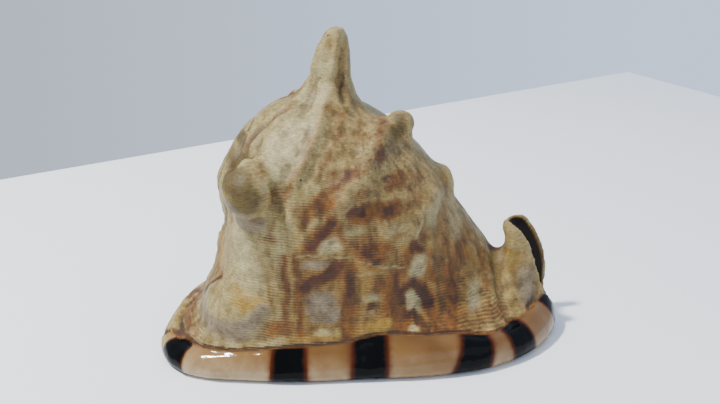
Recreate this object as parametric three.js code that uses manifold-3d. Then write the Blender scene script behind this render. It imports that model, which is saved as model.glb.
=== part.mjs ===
// A king helmet shell (a large, heavy sea snail's shell) lying on its aperture, as it lies on a table.
// It grew as one piece, so it is one solid: the body whorl with its spire, a tall horn and lesser
// knobs, the thick rolled outer lip and the broad shield that carry it, the upturned siphonal canal,
// and the narrow toothed aperture underneath, which leads into the hollow of the last whorl.
//
// Frame, in millimetres: +X from the spire to the canal, -Y towards the outer lip, +Z up. The origin
// is on the table, under the middle of the shell.
import * as THREE from "three";
import Module from "manifold-3d";

const wasm = await Module();
wasm.setup();

const { cos, sin, PI, sqrt, pow, exp, log, abs, floor, min, max } = Math;
const { clamp, lerp, smoothstep, degToRad } = THREE.MathUtils;
const vec = (x, y, z) => new THREE.Vector3(x, y, z);

// Driving dimensions
const SHELL_HEIGHT = 137; // table to the tip of the horn; the rim's outline sets length and breadth
const WALL = 6; // outer wall of the last whorl
const AXIS_TILT = degToRad(28); // the coiling axis rises towards the spire

// Solids from rings of points

// A closed surface through rings with the same number of points, from one end point to the other.
function loft(startPole, rings, endPole) {
  const count = rings[0].length;
  const points = [startPole, ...rings.flat(), endPole];
  const last = points.length - 1;
  const at = (ring, i) => 1 + ring * count + (i % count);
  const faces = [];
  for (let i = 0; i < count; i++) {
    faces.push(0, at(0, i + 1), at(0, i));
    for (let ring = 0; ring + 1 < rings.length; ring++) {
      faces.push(at(ring, i), at(ring, i + 1), at(ring + 1, i));
      faces.push(at(ring, i + 1), at(ring + 1, i + 1), at(ring + 1, i));
    }
    faces.push(last, at(rings.length - 1, i), at(rings.length - 1, i + 1));
  }
  return solid(points, faces);
}

// The signed volume inside a closed surface: negative where its faces point inwards.
function signedVolume(points, faces) {
  let six = 0;
  for (let i = 0; i < faces.length; i += 3) {
    const [a, b, c] = [0, 1, 2].map((k) => points[faces[i + k]]);
    six += a.dot(vec(0, 0, 0).crossVectors(b, c));
  }
  return six / 6;
}

function solid(points, faces) {
  const outward = signedVolume(points, faces) > 0;
  const triVerts = Uint32Array.from(outward ? faces : faces.toReversed());
  const vertProperties = Float32Array.from(points.flatMap((p) => p.toArray()));
  return new wasm.Manifold(new wasm.Mesh({ numProp: 3, vertProperties, triVerts }));
}

function geometryOf(manifold) {
  const mesh = manifold.getMesh();
  const geometry = new THREE.BufferGeometry();
  geometry.setAttribute("position", new THREE.BufferAttribute(mesh.vertProperties, 3));
  geometry.setIndex(new THREE.BufferAttribute(mesh.triVerts, 1));
  geometry.computeVertexNormals();
  return geometry;
}

const around = (count, make) => Array.from({ length: count }, (_, i) => make(i / count));
const steps = (count, make) => Array.from({ length: count + 1 }, (_, i) => make(i / count));

// The value at x of a curve through [x, value] pairs with falling or rising x, smooth in between.
function through(pairs, x) {
  const rising = pairs[0][0] < pairs.at(-1)[0] ? pairs : pairs.toReversed();
  const inside = clamp(x, rising[0][0], rising.at(-1)[0]);
  const next = max(1, rising.findIndex(([at]) => at >= inside));
  const [x0, a] = rising[next - 1];
  const [x1, b] = rising[next];
  const slope = (i) => {
    const [xa, ya] = rising[max(0, i - 1)];
    const [xb, yb] = rising[min(rising.length - 1, i + 1)];
    return (yb - ya) / (xb - xa);
  };
  const t = (inside - x0) / (x1 - x0);
  const [ma, mb] = [slope(next - 1) * (x1 - x0), slope(next) * (x1 - x0)];
  return a + t * (ma + t * (3 * (b - a) - 2 * ma - mb + t * (ma + mb - 2 * (b - a))));
}

// Body whorl
// It is drawn round the coiling axis: h is the height along the axis above the plane of the shoulder,
// towards the spire, r the distance from the axis, and turn the angle round it, which is 0 on top,
// 90 degrees at the outer lip's side and -90 on the far side.

const SHOULDER_CENTRE = vec(-45.75, -3.75, 70.4);
const TO_SPIRE = vec(-cos(AXIS_TILT), 0, sin(AXIS_TILT));
const TO_TOP = vec(sin(AXIS_TILT), 0, cos(AXIS_TILT));
const TO_LIP = vec(0, -1, 0);

const SHOULDER_RADIUS = 41.5;
const SPIRE_RISE = 18.5; // apex above the shoulder
const BODY_PROFILE = [
  [0, SHOULDER_RADIUS],
  [-4, 44],
  [-10, 47],
  [-18, 49.6],
  [-27, 50.6],
  [-36, 50],
  [-45, 48.4],
  [-55, 45.6],
  [-64, 42],
  [-74, 37],
  [-84, 31],
  [-93, 26.5],
  [-101, 22.8],
  [-109, 18.5],
  [-115, 12],
];
const SPIRE_RADII = [5, 10, 14.5, 18, 21, 24, 28, 32, 35.5, 38.5, 40.5];
const BODY_END = -119; // the whorl's closed end, inside the canal
const WHORL_GROWTH = 1.15; // how much the last whorl widens in a turn
const SPIRE_GROWTH = 1.8; // how much wider each spire whorl is than the one before

// Turns the lip's side of the shoulder up towards the spire, where the last part of the whorl climbs.
const CLIMB = 9.5;
const CLIMB_ENDS = 122;
const climb = (turn) => CLIMB * sin((PI * clamp(turn, 0, CLIMB_ENDS)) / CLIMB_ENDS);

// How wide the whorl is at a turn, against the top: it widens towards the lip and closes underneath.
function widening(turn) {
  const grown = pow(WHORL_GROWTH, turn / 360);
  const closing = smoothstep(abs(turn), 120, 180);
  return lerp(grown, 0.86, closing);
}

// Under its widest part, the lip's side of the whorl falls straight down instead of curving in, and
// towards the canal it also swells, where it opens out into the lip.
const STRAIGHT_FROM = 85;
const LIP_SWELL = 0.14;
function fullness(h, turn) {
  const past = degToRad(clamp(turn - STRAIGHT_FROM, 0, 36));
  const straight = lerp(1 / cos(past), 1, smoothstep(turn, 122, 160));
  const swollen = smoothstep(turn, 15, 95) * (1 - smoothstep(turn, 115, 160)) * smoothstep(-h, 36, 96);
  return lerp(1, straight, smoothstep(-h, 4, 46)) * (1 + LIP_SWELL * swollen);
}

function onBody(h, r, turn) {
  const angle = degToRad(turn);
  return SHOULDER_CENTRE.clone()
    .addScaledVector(TO_SPIRE, h)
    .addScaledVector(TO_TOP, r * cos(angle))
    .addScaledVector(TO_LIP, r * sin(angle));
}

// Height of the domed spire at a share of the shoulder's radius, with its spiral seam between whorls.
const SEAM_DEPTH = 1.6;
const CHANNEL_DEPTH = 6; // the hollow inside the shoulder's crest, on the lip's side
function spireHeight(share, turn) {
  const dome = SPIRE_RISE * pow(1 - pow(share, 2.6), 0.8);
  const whorl = log(max(share, 0.02)) / log(SPIRE_GROWTH) - turn / 360;
  const acrossWhorl = whorl - floor(whorl);
  const seam = -SEAM_DEPTH * exp(-pow(min(acrossWhorl, 1 - acrossWhorl) / 0.16, 2));
  const channel = exp(-pow((share - 0.82) / 0.13, 2)) * smoothstep(turn, 15, 60);
  return dome + seam * smoothstep(share, 0.05, 0.3) * (1 - smoothstep(share, 0.85, 1))
    - CHANNEL_DEPTH * channel * (1 - smoothstep(turn, 120, 160));
}

// Turns for the rings: closer together on top, under the horn.
const BODY_SIDES = 54;
const bodyTurns = around(BODY_SIDES, (u) => 360 * (u - 0.5) - 14 * sin(2 * PI * (u - 0.5)));

function bodyWhorl() {
  const spireRings = SPIRE_RADII.map((radius) =>
    bodyTurns.map((turn) => {
      const share = radius / SHOULDER_RADIUS;
      const h = spireHeight(share, turn) + climb(turn) * pow(share, 3);
      return onBody(h, radius * widening(turn), turn);
    }),
  );
  const sideRings = BODY_PROFILE.map(([h, r]) =>
    bodyTurns.map((turn) => {
      const climbing = climb(turn) * (1 - smoothstep(-h, 4, 62));
      return onBody(h + climbing, r * widening(turn) * fullness(h, turn), turn);
    }),
  );
  return loft(onBody(SPIRE_RISE, 0, 0), [...spireRings, ...sideRings], onBody(BODY_END, 0, 0));
}

// Rim and skirt
// The rolled lip and the shield's edge run round the whole base, and the skirt rises from them to the
// whorl. Each station has the rim's x and y, the height of its glossy band, the point where the skirt
// meets the whorl, and how hollow the skirt is between the two: 0 is straight, 1 a quarter round.
const STATIONS = [
  { rim: [-88, -38.5], band: 10.5, waist: [-64, -24, 50], hollow: 0.85 },
  { rim: [-80, -51], band: 10, waist: [-61, -34, 54], hollow: 0.75 },
  { rim: [-68, -60], band: 10, waist: [-53, -44, 60], hollow: 0.52 },
  { rim: [-50, -65.2], band: 11, waist: [-40, -50.5, 62], hollow: 0.34 },
  { rim: [-26, -66.25], band: 12, waist: [-22, -55, 58], hollow: 0.28 },
  { rim: [1, -64.2], band: 13.4, waist: [1, -51, 49], hollow: 0.3 },
  { rim: [27, -62], band: 14, waist: [25, -40, 40], hollow: 0.26 },
  { rim: [54, -55.2], band: 13.6, waist: [47, -27, 33], hollow: 0.24 },
  { rim: [74, -41.5], band: 13.2, waist: [61, -19, 31], hollow: 0.2 },
  { rim: [85, -27], band: 14, waist: [70, -12, 32], hollow: 0.25 },
  { rim: [89.6, -13], band: 17, waist: [74, -7, 34], hollow: 0.4 },
  { rim: [89.6, 0], band: 16, waist: [72, -3, 30], hollow: 0.5 },
  { rim: [84, 16], band: 9, waist: [62, 4, 28], hollow: 0.7 },
  { rim: [68, 35.5], band: 7, waist: [46, 18, 30], hollow: 0.8 },
  { rim: [40, 53], band: 6, waist: [24, 30, 34], hollow: 0.85 },
  { rim: [8, 64], band: 6, waist: [0, 40, 40], hollow: 0.85 },
  { rim: [-24, 66.25], band: 6, waist: [-22, 42, 46], hollow: 0.85 },
  { rim: [-52, 56.5], band: 7, waist: [-40, 38, 50], hollow: 0.85 },
  { rim: [-71, 38], band: 8.5, waist: [-57, 26, 48], hollow: 0.85 },
  { rim: [-82, 15], band: 10, waist: [-65, 9, 46], hollow: 0.85 },
  { rim: [-88, -8], band: 11, waist: [-66, -8, 46], hollow: 0.85 },
  { rim: [-90, -25], band: 11, waist: [-65, -16, 48], hollow: 0.85 },
];
const BASE_MIDDLE = vec(-8, -2, 0);
const RIM_STATIONS = 72;
const SKIRT_RINGS = 6;
const SHIELD_HOLLOW = 5; // the shield's middle is this far off the table

// The rolled edge: how far in from the outline, height as a share of the band, and height to add.
const RIM_ROLL = [
  [32, 0, 4],
  [13, 0, 0],
  [3, 0, 0],
  [0.7, 0.08, 0],
  [0, 0.28, 0],
  [0.9, 0.56, 0],
  [2.8, 0.82, 0],
  [5.2, 0.97, 0],
  [7, 1, 0],
];

function closedCurve(points) {
  return new THREE.CatmullRomCurve3(points, true, "centripetal");
}

function rimAndSkirt() {
  const rimCurve = closedCurve(STATIONS.map(({ rim: [x, y] }) => vec(x, y, 0)));
  const waistCurve = closedCurve(STATIONS.map(({ waist }) => vec(...waist)));
  const traits = closedCurve(STATIONS.map(({ band, hollow }) => vec(band, hollow, 0)));
  const stations = around(RIM_STATIONS, (u) => {
    const rim = rimCurve.getPoint(u);
    const { x: band, y: hollow } = traits.getPoint(u);
    const inward = BASE_MIDDLE.clone().sub(rim).normalize();
    return { rim, band, hollow, inward, waist: waistCurve.getPoint(u) };
  });
  const inset = ({ rim, band, inward }, distance, share, lift) =>
    rim
      .clone()
      .addScaledVector(inward, distance)
      .setZ(share * band + lift);
  const rollRings = RIM_ROLL.map((roll) => stations.map((station) => inset(station, ...roll)));
  const skirtRings = around(SKIRT_RINGS, (t) =>
    stations.map((station) => {
      const foot = inset(station, ...RIM_ROLL.at(-1));
      const along = t + 1 / SKIRT_RINGS;
      const sweep = along * (PI / 2);
      const inwards = lerp(along, sin(sweep), station.hollow);
      const upwards = lerp(along, 1 - cos(sweep), station.hollow);
      const z = lerp(foot.z, station.waist.z, upwards);
      return foot.lerp(station.waist, inwards).setZ(z);
    }),
  );
  const floorMiddle = BASE_MIDDLE.clone().setZ(SHIELD_HOLLOW);
  return loft(floorMiddle, [...rollRings, ...skirtRings], BASE_MIDDLE.clone().setZ(48));
}

// Horn and knobs
// Each is a hollow-sided peak with a rounded tip: a profile of [height share, radius share] pairs
// turned round a line from its foot to its tip.
const PEAK_SIDES = 16;
function peak(foot, tip, profile, sides = PEAK_SIDES) {
  const axis = tip.clone().sub(foot);
  const [along, length] = [axis.clone().normalize(), axis.length()];
  const aside = vec(0, 1, 0).cross(along).normalize();
  const across = along.clone().cross(aside);
  const rings = profile.map(([height, radius]) =>
    around(sides, (u) =>
      foot
        .clone()
        .addScaledVector(along, height * length)
        .addScaledVector(aside, radius * cos(2 * PI * u))
        .addScaledVector(across, radius * sin(2 * PI * u)),
    ),
  );
  return loft(foot, rings, tip);
}

const HORN_FOOT = vec(-17.5, -6.5, 92);
const HORN_TIP = vec(-11.4, -6.75, SHELL_HEIGHT);
// Height up the horn as a share, and its radius there in millimetres.
const HORN_PROFILE = [
  [0.0, 30],
  [0.12, 24.5],
  [0.22, 18.8],
  [0.31, 14.6],
  [0.42, 11.2],
  [0.54, 9.1],
  [0.66, 7.6],
  [0.78, 6.4],
  [0.88, 5.2],
  [0.95, 3.7],
  [0.985, 2],
];

// Knobs stand in rows round the whorl: row height, turn, length above the wall, tip radius, foot
// radius, and how far they lean towards the spire.
const KNOBS = [
  { h: -4.5, turn: 84, length: 7.5, tip: 6.6, foot: 13, lean: 0.35 },
  { h: -3, turn: -48, length: 9, tip: 4.6, foot: 15, lean: 0.35 },
  { h: -3, turn: -88, length: 8, tip: 4.4, foot: 14, lean: 0.3 },
  { h: -4, turn: -124, length: 6, tip: 4, foot: 12, lean: 0.2 },
  { h: -43, turn: 8, length: 8, tip: 4.6, foot: 11, lean: 0 },
  { h: -41, turn: -36, length: 5, tip: 4, foot: 10, lean: 0.1 },
  { h: -41, turn: -74, length: 4.5, tip: 3.8, foot: 10, lean: 0 },
  { h: -41, turn: -110, length: 3.5, tip: 3.6, foot: 9, lean: 0 },
  { h: -71, turn: 5, length: 4.2, tip: 4, foot: 9, lean: 0 },
  { h: -69, turn: -40, length: 3, tip: 3.6, foot: 8.5, lean: 0 },
  { h: -69, turn: -80, length: 2.5, tip: 3.4, foot: 8, lean: 0 },
];
const KNOB_DEPTH = 6; // each knob's foot is this far inside the wall

function knob({ h, turn, length, tip, foot, lean }) {
  const wall = through(BODY_PROFILE, min(h, 0)) * widening(turn) * fullness(h, turn);
  const lift = climb(turn) * (1 - smoothstep(-h, 4, 62));
  const root = onBody(h + lift, wall - KNOB_DEPTH, turn);
  const outward = onBody(h + lift, wall, turn).sub(onBody(h + lift, 0, turn)).normalize();
  const direction = outward.addScaledVector(TO_SPIRE, lean).normalize();
  const height = KNOB_DEPTH + length;
  const end = root.clone().addScaledVector(direction, height);
  const neck = lerp(foot, tip, 0.62);
  const wallShare = KNOB_DEPTH / height;
  const profile = [
    [0, foot * 1.15],
    [wallShare * 0.75, foot * 0.86],
    [wallShare, neck * 1.1],
    [lerp(wallShare, 1, 0.34), lerp(neck, tip, 0.6)],
    [lerp(wallShare, 1, 0.66), tip],
    [lerp(wallShare, 1, 0.9), tip * 0.66],
  ];
  return peak(root, end, profile, 12);
}

// Siphonal canal
// A spout bent up and back. Each station is x, y, z, its half width in the plane of the bend and its
// half width across.
const SPOUT = [
  { at: vec(42, -9, 20), tall: 17, wide: 20 },
  { at: vec(58, -8, 19), tall: 17, wide: 20 },
  { at: vec(68, -7, 22), tall: 16, wide: 19 },
  { at: vec(74, -6, 28.5), tall: 13.2, wide: 16.5 },
  { at: vec(75.2, -5, 36), tall: 10.6, wide: 13.5 },
  { at: vec(73.2, -4, 42.5), tall: 8.2, wide: 11 },
  { at: vec(69.8, -3.5, 46.6), tall: 5.6, wide: 8.4 },
  { at: vec(66.8, -3.5, 48.8), tall: 3, wide: 5 },
];
const SPOUT_TIP = vec(65, -3.5, 50);
const SPOUT_SIDES = 20;

function spout() {
  const centres = SPOUT.map(({ at }) => at);
  const curve = new THREE.CatmullRomCurve3([...centres, SPOUT_TIP]);
  const rings = SPOUT.map(({ at, tall, wide }, i) => {
    const along = curve.getTangent(i / SPOUT.length);
    const outward = vec(0, 1, 0).cross(along).normalize();
    return around(SPOUT_SIDES, (u) =>
      at
        .clone()
        .addScaledVector(outward, tall * cos(2 * PI * u))
        .add(vec(0, wide * sin(2 * PI * u), 0)),
    );
  });
  return loft(centres[0], rings, SPOUT_TIP);
}

// Aperture
// A slot runs along the underside and up round the canal. Each station is a point outside the shell,
// the point that the slot reaches inside it, and its half width towards the lip and towards the shield.
const SLOT = [
  { outer: vec(-61, -26, -4), inner: vec(-57, -26, 10), lip: 2, shield: 2 },
  { outer: vec(-50, -31, -4), inner: vec(-49, -31, 24), lip: 4, shield: 4 },
  { outer: vec(-36, -35, -4), inner: vec(-36, -34, 30), lip: 5.6, shield: 6 },
  { outer: vec(-12, -37.5, -4), inner: vec(-12, -36, 32), lip: 6.4, shield: 7 },
  { outer: vec(12, -36.5, -4), inner: vec(12, -34, 31), lip: 6.4, shield: 7 },
  { outer: vec(34, -32, -4), inner: vec(33, -27, 28), lip: 6, shield: 6.6 },
  { outer: vec(54, -24, -4), inner: vec(50, -18, 24), lip: 5.8, shield: 6.2 },
  { outer: vec(76, -13, -6), inner: vec(61, -10, 21), lip: 5.8, shield: 5.8 },
  { outer: vec(96, -5, 4), inner: vec(66, -5, 24), lip: 6.5, shield: 6 },
  { outer: vec(100, -4.5, 26), inner: vec(68, -5, 31), lip: 8.5, shield: 7 },
  { outer: vec(97, -4.5, 46), inner: vec(69, -5, 38), lip: 8.5, shield: 7 },
  { outer: vec(84, -4.5, 62), inner: vec(68, -4.5, 43.5), lip: 7, shield: 6.4 },
  { outer: vec(67, -4.5, 66), inner: vec(64.5, -4.5, 47), lip: 4.5, shield: 5 },
];
const FIRST_CANAL_STATION = 8; // from here the slot is cut straight along the length

function apertureSlot() {
  const towardsLip = SLOT.map((station, i) => {
    const before = SLOT[max(0, i - 1)].outer;
    const after = SLOT[min(SLOT.length - 1, i + 1)].outer;
    const alongRim = vec(after.y - before.y, before.x - after.x, 0).normalize();
    return i < FIRST_CANAL_STATION ? alongRim : vec(0, -1, 0);
  });
  const rings = SLOT.map(({ outer, inner, lip, shield }, i) => {
    const shallow = inner.clone().lerp(outer, 0.12);
    const aside = (point, distance) => point.clone().addScaledVector(towardsLip[i], distance);
    return [
      aside(outer, lip),
      aside(shallow, lip),
      aside(inner, lip * 0.5),
      aside(inner, -shield * 0.5),
      aside(shallow, -shield),
      aside(outer, -shield),
    ];
  });
  const middle = (ring) => ring.reduce((sum, p) => sum.add(p), vec(0, 0, 0)).divideScalar(6);
  return loft(middle(rings[0]), rings, middle(rings.at(-1)));
}

// Hollow of the last whorl: a flattened tube that winds back round the axis from the aperture.
const HOLLOW_FROM = 141;
const HOLLOW_BACK = 320; // degrees of turn
const HOLLOW_STATIONS = 16;
const HOLLOW_TOP = -9;
const HOLLOW_BOTTOM = -92;
const HOLLOW_DEPTH = 15;
function lastWhorlHollow() {
  const rings = steps(HOLLOW_STATIONS, (t) => {
    const turn = HOLLOW_FROM - HOLLOW_BACK * t;
    const inwards = 30 * smoothstep(t, 0.5, 1);
    const fade = 1 - 0.55 * smoothstep(t, 0.4, 1);
    return around(14, (u) => {
      const across = cos(2 * PI * u);
      const h = lerp(HOLLOW_BOTTOM, HOLLOW_TOP, 0.5 + 0.5 * across * fade);
      const outside = through(BODY_PROFILE, h) * widening(clamp(turn, -120, 120)) - WALL - inwards * 0.55;
      const depth = HOLLOW_DEPTH * fade * (0.35 + 0.65 * sqrt(max(0, 1 - across * across)));
      const middle = outside - depth / 2;
      const r = middle + (depth / 2) * sin(2 * PI * u);
      return onBody(h, max(r, 3), turn);
    });
  });
  const centre = (ring) =>
    ring.reduce((sum, p) => sum.add(p), vec(0, 0, 0)).divideScalar(ring.length);
  return loft(centre(rings[0]), rings, centre(rings.at(-1)));
}

// Teeth and folds
// Blunt teeth line the lip's side of the aperture, and thinner, longer folds the shield's side.
const TEETH = 10;
const TOOTH = vec(2.4, 5.4, 3); // half its size along the rim, across it and in height
const TOOTH_INSET = 4.4; // from the slot's edge out over the lip
const FOLDS = 16;
const FOLD = vec(1.1, 7.4, 2.2);
const FOLD_INSET = 5.6;
const TOOTHED_FROM = 1.2; // slot stations between which the teeth stand
const TOOTHED_TO = 6.6;

function ridge(at, along, half) {
  const across = vec(-along.y, along.x, 0);
  const ring = (height, share) =>
    around(6, (u) =>
      at
        .clone()
        .addScaledVector(along, half.x * share * cos(2 * PI * u))
        .addScaledVector(across, half.y * share * sin(2 * PI * u))
        .add(vec(0, 0, half.z * height)),
    );
  const up = vec(0, 0, half.z);
  return loft(at.clone().sub(up), [ring(-0.6, 0.8), ring(0, 1), ring(0.6, 0.8)], at.clone().add(up));
}

function ridgesAlong(count, half, inset, side) {
  const edge = new THREE.CatmullRomCurve3(SLOT.map(({ outer }) => vec(outer.x, outer.y, 0)));
  return steps(count - 1, (u) => {
    const station = lerp(TOOTHED_FROM, TOOTHED_TO, u);
    const next = SLOT[floor(station) + 1];
    const width = lerp(SLOT[floor(station)][side], next[side], station - floor(station));
    const share = station / (SLOT.length - 1);
    const along = edge.getTangent(share).setZ(0).normalize();
    const away = side === "lip" ? 1 : -1;
    const offset = vec(along.y, -along.x, 0).multiplyScalar(away * (width + inset - 3));
    return ridge(edge.getPoint(share).add(offset).setZ(half.z + 0.2), along, half);
  });
}

const whorl = [bodyWhorl(), rimAndSkirt(), spout(), peak(HORN_FOOT, HORN_TIP, HORN_PROFILE)];
const joined = [...whorl, ...KNOBS.map(knob)].reduce((sum, next) => sum.add(next));
const hollowed = joined.subtract(apertureSlot().add(lastWhorlHollow()));
const lipTeeth = ridgesAlong(TEETH, TOOTH, TOOTH_INSET, "lip");
const shieldFolds = ridgesAlong(FOLDS, FOLD, FOLD_INSET, "shield");
const toothed = [...lipTeeth, ...shieldFolds].reduce((sum, next) => sum.add(next), hollowed);

const nacre = new THREE.MeshStandardMaterial({ color: 0xc9ab82, roughness: 0.55, metalness: 0 });
const shell = new THREE.Mesh(geometryOf(toothed), nacre);
shell.name = "helmet_shell";

const helmetShell = new THREE.Group();
helmetShell.add(shell);

export default helmetShell;
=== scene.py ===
from math import radians

import bpy
import numpy as np
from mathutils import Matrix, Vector, noise
from mathutils.bvhtree import BVHTree


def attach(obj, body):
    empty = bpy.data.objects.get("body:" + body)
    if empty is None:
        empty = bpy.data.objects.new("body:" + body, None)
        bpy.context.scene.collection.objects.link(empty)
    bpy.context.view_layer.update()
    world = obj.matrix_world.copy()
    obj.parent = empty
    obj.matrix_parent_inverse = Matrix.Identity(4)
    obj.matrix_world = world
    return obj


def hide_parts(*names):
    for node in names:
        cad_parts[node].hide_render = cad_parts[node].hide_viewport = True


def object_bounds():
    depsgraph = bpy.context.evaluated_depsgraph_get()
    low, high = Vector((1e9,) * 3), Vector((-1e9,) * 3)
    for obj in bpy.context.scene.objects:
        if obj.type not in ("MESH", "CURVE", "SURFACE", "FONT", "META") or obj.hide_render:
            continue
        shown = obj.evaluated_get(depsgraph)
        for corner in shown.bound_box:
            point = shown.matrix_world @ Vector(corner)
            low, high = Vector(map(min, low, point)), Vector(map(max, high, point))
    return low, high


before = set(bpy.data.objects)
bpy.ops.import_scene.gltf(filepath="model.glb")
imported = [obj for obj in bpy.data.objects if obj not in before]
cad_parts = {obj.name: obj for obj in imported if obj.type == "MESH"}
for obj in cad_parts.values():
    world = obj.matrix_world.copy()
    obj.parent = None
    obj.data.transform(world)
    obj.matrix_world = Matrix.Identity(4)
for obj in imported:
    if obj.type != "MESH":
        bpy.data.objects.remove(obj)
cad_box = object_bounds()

# The last whorl and the spire
# The real shell is layered aragonite that the animal laid down at the lip as it grew round its
# axis, so every stretch of the whorl is the same curve, turned and a little enlarged. Here it is
# rings of points round the tilted coiling axis. All sizes are millimetres until a mesh is made.
MM = 0.001
AXIS_TILT = radians(28)
SHOULDER_CENTRE = np.array([-45.75, -3.75, 70.4])
TO_SPIRE = np.array([-np.cos(AXIS_TILT), 0, np.sin(AXIS_TILT)])
TO_TOP = np.array([np.sin(AXIS_TILT), 0, np.cos(AXIS_TILT)])
TO_LIP = np.array([0, -1.0, 0])
SHOULDER_RADIUS = 41.5
SPIRE_RISE = 18.5
WHORL_GROWTH = 1.15
SPIRE_GROWTH = 1.8
SEAM_DEPTH = 1.6
CHANNEL_DEPTH = 6
CLIMB = 6.5
CLIMB_ENDS = 122
STRAIGHT_FROM = 85
LIP_SWELL = 0.14
BACK_NARROWING = 0.86
SPIRE_FLATTENING = 0.55
SEAM_WIDTH = 0.16
BODY_PROFILE = [
    (0, SHOULDER_RADIUS), (-4, 44), (-10, 47), (-18, 49.6), (-27, 50.6), (-36, 50), (-45, 48.4), (-55, 45.6),
    (-64, 42), (-74, 37), (-84, 31), (-93, 26.5), (-101, 22.8), (-109, 18.5), (-115, 12),
]
BODY_END = -119
BODY_SIDES = 200
SPIRE_RINGS = 30


def smoothstep(x, low, high):
    t = np.clip((x - low) / (high - low), 0, 1)
    return t * t * (3 - 2 * t)


def lerp(a, b, t):
    return a + (b - a) * t


def through(pairs, x):
    """The value at x of a smooth curve through (x, value) pairs."""
    xs, ys = np.array(sorted(pairs), float).T
    slopes = np.gradient(ys, xs)
    slopes[1:-1] = (ys[2:] - ys[:-2]) / (xs[2:] - xs[:-2])
    x = np.clip(x, xs[0], xs[-1])
    i = np.clip(np.searchsorted(xs, x) - 1, 0, len(xs) - 2)
    width = xs[i + 1] - xs[i]
    t = (x - xs[i]) / width
    a, b, ma, mb = ys[i], ys[i + 1], slopes[i] * width, slopes[i + 1] * width
    return a + t * (ma + t * (3 * (b - a) - 2 * ma - mb + t * (ma + mb - 2 * (b - a))))


def climb(turn):
    return CLIMB * np.sin(np.pi * np.clip(turn, 0, CLIMB_ENDS) / CLIMB_ENDS)


def widening(turn):
    return lerp(WHORL_GROWTH ** (turn / 360), BACK_NARROWING, smoothstep(np.abs(turn), 120, 180))


def fullness(h, turn):
    past = np.radians(np.clip(turn - STRAIGHT_FROM, 0, 36))
    straight = lerp(1 / np.cos(past), 1, smoothstep(turn, 122, 160))
    swollen = smoothstep(turn, 15, 95) * (1 - smoothstep(turn, 115, 160)) * smoothstep(-h, 36, 96)
    return lerp(1, straight, smoothstep(-h, 4, 46)) * (1 + LIP_SWELL * swollen)


def on_body(h, r, turn):
    h, r, angle = np.broadcast_arrays(h, r, np.radians(turn))
    upward = (r * np.cos(angle))[..., None] * TO_TOP
    sideways = (r * np.sin(angle))[..., None] * TO_LIP
    return SHOULDER_CENTRE + h[..., None] * TO_SPIRE + upward + sideways


def from_seam(share, turn):
    """How far a place on the spire is from the seam of its whorls, as a share of one whorl."""
    across = (np.log(np.maximum(share, 0.02)) / np.log(SPIRE_GROWTH) - turn / 360) % 1
    return np.minimum(across, 1 - across)


def spire_height(share, turn):
    flattened = SPIRE_FLATTENING * smoothstep(np.abs(turn), 85, 150) * smoothstep(share, 0.2, 0.7)
    dome = SPIRE_RISE * (1 - share ** 2.6) ** 0.8 * (1 - flattened)
    seam = SEAM_DEPTH * np.exp(-((from_seam(share, turn) / SEAM_WIDTH) ** 2))
    seam = seam * smoothstep(share, 0.05, 0.3) * (1 - smoothstep(share, 0.85, 1))
    channel = np.exp(-(((share - 0.82) / 0.13) ** 2)) * smoothstep(turn, 15, 60) * (1 - smoothstep(turn, 120, 160))
    return dome - seam - CHANNEL_DEPTH * channel


def wall_at(h, turn):
    """Where the wall's profile at level h comes to lie: its level on the axis and its radius."""
    lift = climb(turn) * (1 - smoothstep(-h, 4, 62))
    return h + lift, through(BODY_PROFILE, h) * widening(turn) * fullness(h, turn)


def loft(start, rings, end):
    """A closed surface through rings with the same number of points, with an end point each way."""
    rings = np.asarray(rings, float)
    ring_count, count = rings.shape[:2]
    points = np.vstack([np.reshape(start, (1, 3)), rings.reshape(-1, 3), np.reshape(end, (1, 3))])
    here = np.arange(count)
    there = (here + 1) % count
    first, last = 1, 1 + (ring_count - 1) * count
    faces = [(0, first + b, first + a) for a, b in zip(here, there)]
    for ring in range(ring_count - 1):
        low, high = 1 + ring * count, 1 + (ring + 1) * count
        faces += [(low + a, low + b, high + b, high + a) for a, b in zip(here, there)]
    faces += [(len(points) - 1, last + a, last + b) for a, b in zip(here, there)]
    return points, faces


def solid(name, points, faces):
    """A closed mesh object with its faces pointing out, from points in millimetres."""
    points = np.asarray(points, float)
    corners = [(points[f[0]], points[f[i]], points[f[i + 1]]) for f in faces for i in range(1, len(f) - 1)]
    a, b, c = (np.array(part) for part in zip(*corners))
    if np.einsum("ij,ij->i", a, np.cross(b, c)).sum() < 0:
        faces = [tuple(reversed(f)) for f in faces]
    mesh = bpy.data.meshes.new(name)
    mesh.from_pydata((points * MM).tolist(), [], [tuple(int(i) for i in f) for f in faces])
    obj = bpy.data.objects.new(name, mesh)
    bpy.context.collection.objects.link(obj)
    return obj


body_turns = np.linspace(-180, 180, BODY_SIDES, endpoint=False)
spire_radii = np.linspace(2.5, 40.6, SPIRE_RINGS)
spire_rings = [
    on_body(
        spire_height(radius / SHOULDER_RADIUS, body_turns) + climb(body_turns) * (radius / SHOULDER_RADIUS) ** 3,
        radius * widening(body_turns),
        body_turns,
    )
    for radius in spire_radii
]
levels = np.concatenate([np.linspace(0, -100, 51), np.linspace(-102.5, -115, 6)])
side_rings = [on_body(*wall_at(h, body_turns), body_turns) for h in levels]
whorl = solid("whorl", *loft(on_body(SPIRE_RISE, 0, 0), spire_rings + side_rings, on_body(BODY_END, 0, 0)))

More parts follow.
